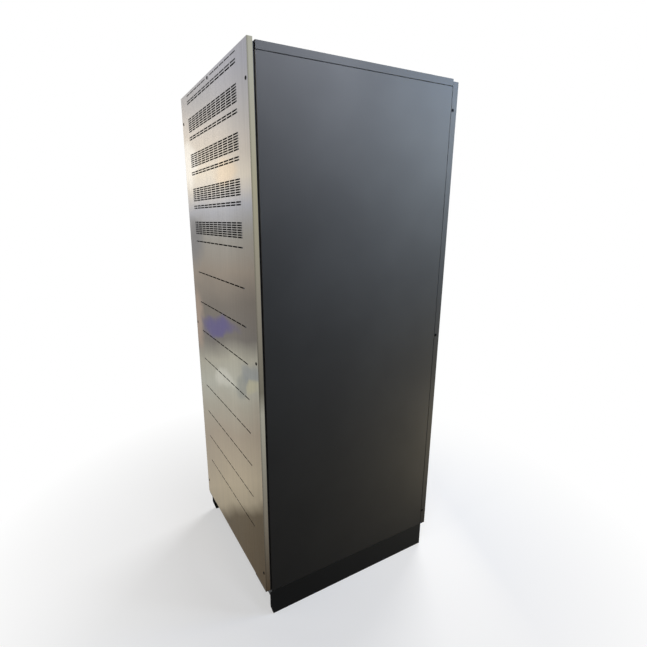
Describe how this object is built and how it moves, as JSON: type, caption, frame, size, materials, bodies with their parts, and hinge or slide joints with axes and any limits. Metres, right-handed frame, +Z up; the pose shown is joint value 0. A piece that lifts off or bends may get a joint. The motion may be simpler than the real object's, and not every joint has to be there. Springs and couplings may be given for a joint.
{
  "type": "modular uninterruptible power supply",
  "caption": "Tall floor-standing cabinet of sliding power modules and battery drawers behind a framed front, with a slotted sheet-metal rear cover, side panels and a dark plinth.",
  "frame": {"origin": "on the floor under the middle of the cabinet", "axes": "+Z up, +Y towards the slotted rear cover, -Y towards the fascia and module fronts, +X to the right of someone facing the rear cover's inside from the front"},
  "size_m": [0.7324, 0.8212, 1.99],
  "materials": {
    "cover_steel": "bare sheet with an upright grain",
    "cabinet_paint": "semi-matt powder coat",
    "plinth_paint": "semi-matt powder coat",
    "frame_paint": "matt powder coat",
    "zinc_steel": "zinc-plated",
    "screw_paint": "blackened",
    "bezel_plastic": "fine texture",
    "drawer_paint": "semi-matt powder coat",
    "rotor_plastic": "satin",
    "battery_plastic": "wrapped blocks",
    "strip_board": "moulded strip",
    "copper": "tinned at the ends",
    "insulator": "moulded",
    "switch_plastic": "moulded",
    "knob_plastic": "satin"
  },
  "bodies": {
    "cabinet": {"base_frame": "frame_paint", "plinth_skirt_left": "plinth_paint", "plinth_skirt_right": "plinth_paint", "kick_plate": "plinth_paint", "frame_posts": "frame_paint", "top_frame": "frame_paint", "bay_runners": "zinc_steel", "side_panel_left": "cabinet_paint", "side_panel_right": "cabinet_paint", "roof_panel": "cabinet_paint", "front_fascia": "cabinet_paint", "rear_cover": "cover_steel", "cabinet_screws": "screw_paint", "docking_strips": "strip_board", "busbars": "copper", "terminal_plate": "zinc_steel", "terminal_block": "insulator", "terminal_clamps": "copper", "gland_plate": "zinc_steel", "switch_panel": "drawer_paint", "switch_bodies": "switch_plastic"},
    "foot_front_left": {"levelling_foot_front_left": "zinc_steel"},
    "foot_rear_left": {"levelling_foot_rear_left": "zinc_steel"},
    "foot_front_right": {"levelling_foot_front_right": "zinc_steel"},
    "foot_rear_right": {"levelling_foot_rear_right": "zinc_steel"},
    "bypass_switch": {"bypass_knob": "knob_plastic"},
    "output_switch": {"output_knob": "knob_plastic"},
    "breaker_lever": {"breaker_toggle": "knob_plastic"},
    "power_module_1": {"module_chassis_1": "frame_paint", "module_bezel_1": "bezel_plastic"},
    "fan_1_left": {"fan_rotor_1_left": "rotor_plastic"},
    "fan_1_right": {"fan_rotor_1_right": "rotor_plastic"},
    "power_module_2": {"module_chassis_2": "frame_paint", "module_bezel_2": "bezel_plastic"},
    "fan_2_left": {"fan_rotor_2_left": "rotor_plastic"},
    "fan_2_right": {"fan_rotor_2_right": "rotor_plastic"},
    "power_module_3": {"module_chassis_3": "frame_paint", "module_bezel_3": "bezel_plastic"},
    "fan_3_left": {"fan_rotor_3_left": "rotor_plastic"},
    "fan_3_right": {"fan_rotor_3_right": "rotor_plastic"},
    "power_module_4": {"module_chassis_4": "frame_paint", "module_bezel_4": "bezel_plastic"},
    "fan_4_left": {"fan_rotor_4_left": "rotor_plastic"},
    "fan_4_right": {"fan_rotor_4_right": "rotor_plastic"},
    "battery_bay_5": {"battery_drawer_5": "drawer_paint", "battery_strings_5": "battery_plastic"},
    "battery_bay_6": {"battery_drawer_6": "drawer_paint", "battery_strings_6": "battery_plastic"},
    "battery_bay_7": {"battery_drawer_7": "drawer_paint", "battery_strings_7": "battery_plastic"},
    "battery_bay_8": {"battery_drawer_8": "drawer_paint", "battery_strings_8": "battery_plastic"},
    "battery_bay_9": {"battery_drawer_9": "drawer_paint", "battery_strings_9": "battery_plastic"},
    "battery_bay_10": {"battery_drawer_10": "drawer_paint", "battery_strings_10": "battery_plastic"},
    "battery_bay_11": {"battery_drawer_11": "drawer_paint", "battery_strings_11": "battery_plastic"},
    "battery_bay_12": {"battery_drawer_12": "drawer_paint", "battery_strings_12": "battery_plastic"}
  },
  "joints": [
    {"name": "foot_front_left_travel", "type": "slide", "parent": "cabinet", "child": "foot_front_left", "axis": [0, 0, 1], "range_m": [0, 0.02]},
    {"name": "foot_rear_left_travel", "type": "slide", "parent": "cabinet", "child": "foot_rear_left", "axis": [0, 0, 1], "range_m": [0, 0.02]},
    {"name": "foot_front_right_travel", "type": "slide", "parent": "cabinet", "child": "foot_front_right", "axis": [0, 0, 1], "range_m": [0, 0.02]},
    {"name": "foot_rear_right_travel", "type": "slide", "parent": "cabinet", "child": "foot_rear_right", "axis": [0, 0, 1], "range_m": [0, 0.02]},
    {"name": "bypass_turn", "type": "hinge", "parent": "cabinet", "child": "bypass_switch", "pos_m": [-0.176, -0.3869, 0.2433], "axis": [0, 1, 0], "range_deg": [0, 90]},
    {"name": "output_turn", "type": "hinge", "parent": "cabinet", "child": "output_switch", "pos_m": [-0.066, -0.3869, 0.2433], "axis": [0, 1, 0], "range_deg": [0, 90]},
    {"name": "breaker_throw", "type": "hinge", "parent": "cabinet", "child": "breaker_lever", "pos_m": [0.12, -0.3725, 0.2433], "axis": [1, 0, 0], "range_deg": [-25, 25]},
    {"name": "power_module_1_slide", "type": "slide", "parent": "cabinet", "child": "power_module_1", "axis": [0, -1, 0], "range_m": [0, 0.5]},
    {"name": "fan_1_left_spin", "type": "hinge", "parent": "power_module_1", "child": "fan_1_left", "pos_m": [-0.134, -0.3519, 1.88813], "axis": [0, 1, 0], "continuous": true},
    {"name": "fan_1_right_spin", "type": "hinge", "parent": "power_module_1", "child": "fan_1_right", "pos_m": [0.012, -0.3519, 1.88813], "axis": [0, 1, 0], "continuous": true},
    {"name": "power_module_2_slide", "type": "slide", "parent": "cabinet", "child": "power_module_2", "axis": [0, -1, 0], "range_m": [0, 0.5]},
    {"name": "fan_2_left_spin", "type": "hinge", "parent": "power_module_2", "child": "fan_2_left", "pos_m": [-0.134, -0.3519, 1.75477], "axis": [0, 1, 0], "continuous": true},
    {"name": "fan_2_right_spin", "type": "hinge", "parent": "power_module_2", "child": "fan_2_right", "pos_m": [0.012, -0.3519, 1.75477], "axis": [0, 1, 0], "continuous": true},
    {"name": "power_module_3_slide", "type": "slide", "parent": "cabinet", "child": "power_module_3", "axis": [0, -1, 0], "range_m": [0, 0.5]},
    {"name": "fan_3_left_spin", "type": "hinge", "parent": "power_module_3", "child": "fan_3_left", "pos_m": [-0.134, -0.3519, 1.62143], "axis": [0, 1, 0], "continuous": true},
    {"name": "fan_3_right_spin", "type": "hinge", "parent": "power_module_3", "child": "fan_3_right", "pos_m": [0.012, -0.3519, 1.62143], "axis": [0, 1, 0], "continuous": true},
    {"name": "power_module_4_slide", "type": "slide", "parent": "cabinet", "child": "power_module_4", "axis": [0, -1, 0], "range_m": [0, 0.5]},
    {"name": "fan_4_left_spin", "type": "hinge", "parent": "power_module_4", "child": "fan_4_left", "pos_m": [-0.134, -0.3519, 1.48808], "axis": [0, 1, 0], "continuous": true},
    {"name": "fan_4_right_spin", "type": "hinge", "parent": "power_module_4", "child": "fan_4_right", "pos_m": [0.012, -0.3519, 1.48808], "axis": [0, 1, 0], "continuous": true},
    {"name": "battery_bay_5_slide", "type": "slide", "parent": "cabinet", "child": "battery_bay_5", "axis": [0, -1, 0], "range_m": [0, 0.5]},
    {"name": "battery_bay_6_slide", "type": "slide", "parent": "cabinet", "child": "battery_bay_6", "axis": [0, -1, 0], "range_m": [0, 0.5]},
    {"name": "battery_bay_7_slide", "type": "slide", "parent": "cabinet", "child": "battery_bay_7", "axis": [0, -1, 0], "range_m": [0, 0.5]},
    {"name": "battery_bay_8_slide", "type": "slide", "parent": "cabinet", "child": "battery_bay_8", "axis": [0, -1, 0], "range_m": [0, 0.5]},
    {"name": "battery_bay_9_slide", "type": "slide", "parent": "cabinet", "child": "battery_bay_9", "axis": [0, -1, 0], "range_m": [0, 0.5]},
    {"name": "battery_bay_10_slide", "type": "slide", "parent": "cabinet", "child": "battery_bay_10", "axis": [0, -1, 0], "range_m": [0, 0.5]},
    {"name": "battery_bay_11_slide", "type": "slide", "parent": "cabinet", "child": "battery_bay_11", "axis": [0, -1, 0], "range_m": [0, 0.5]},
    {"name": "battery_bay_12_slide", "type": "slide", "parent": "cabinet", "child": "battery_bay_12", "axis": [0, -1, 0], "range_m": [0, 0.5]}
  ]
}
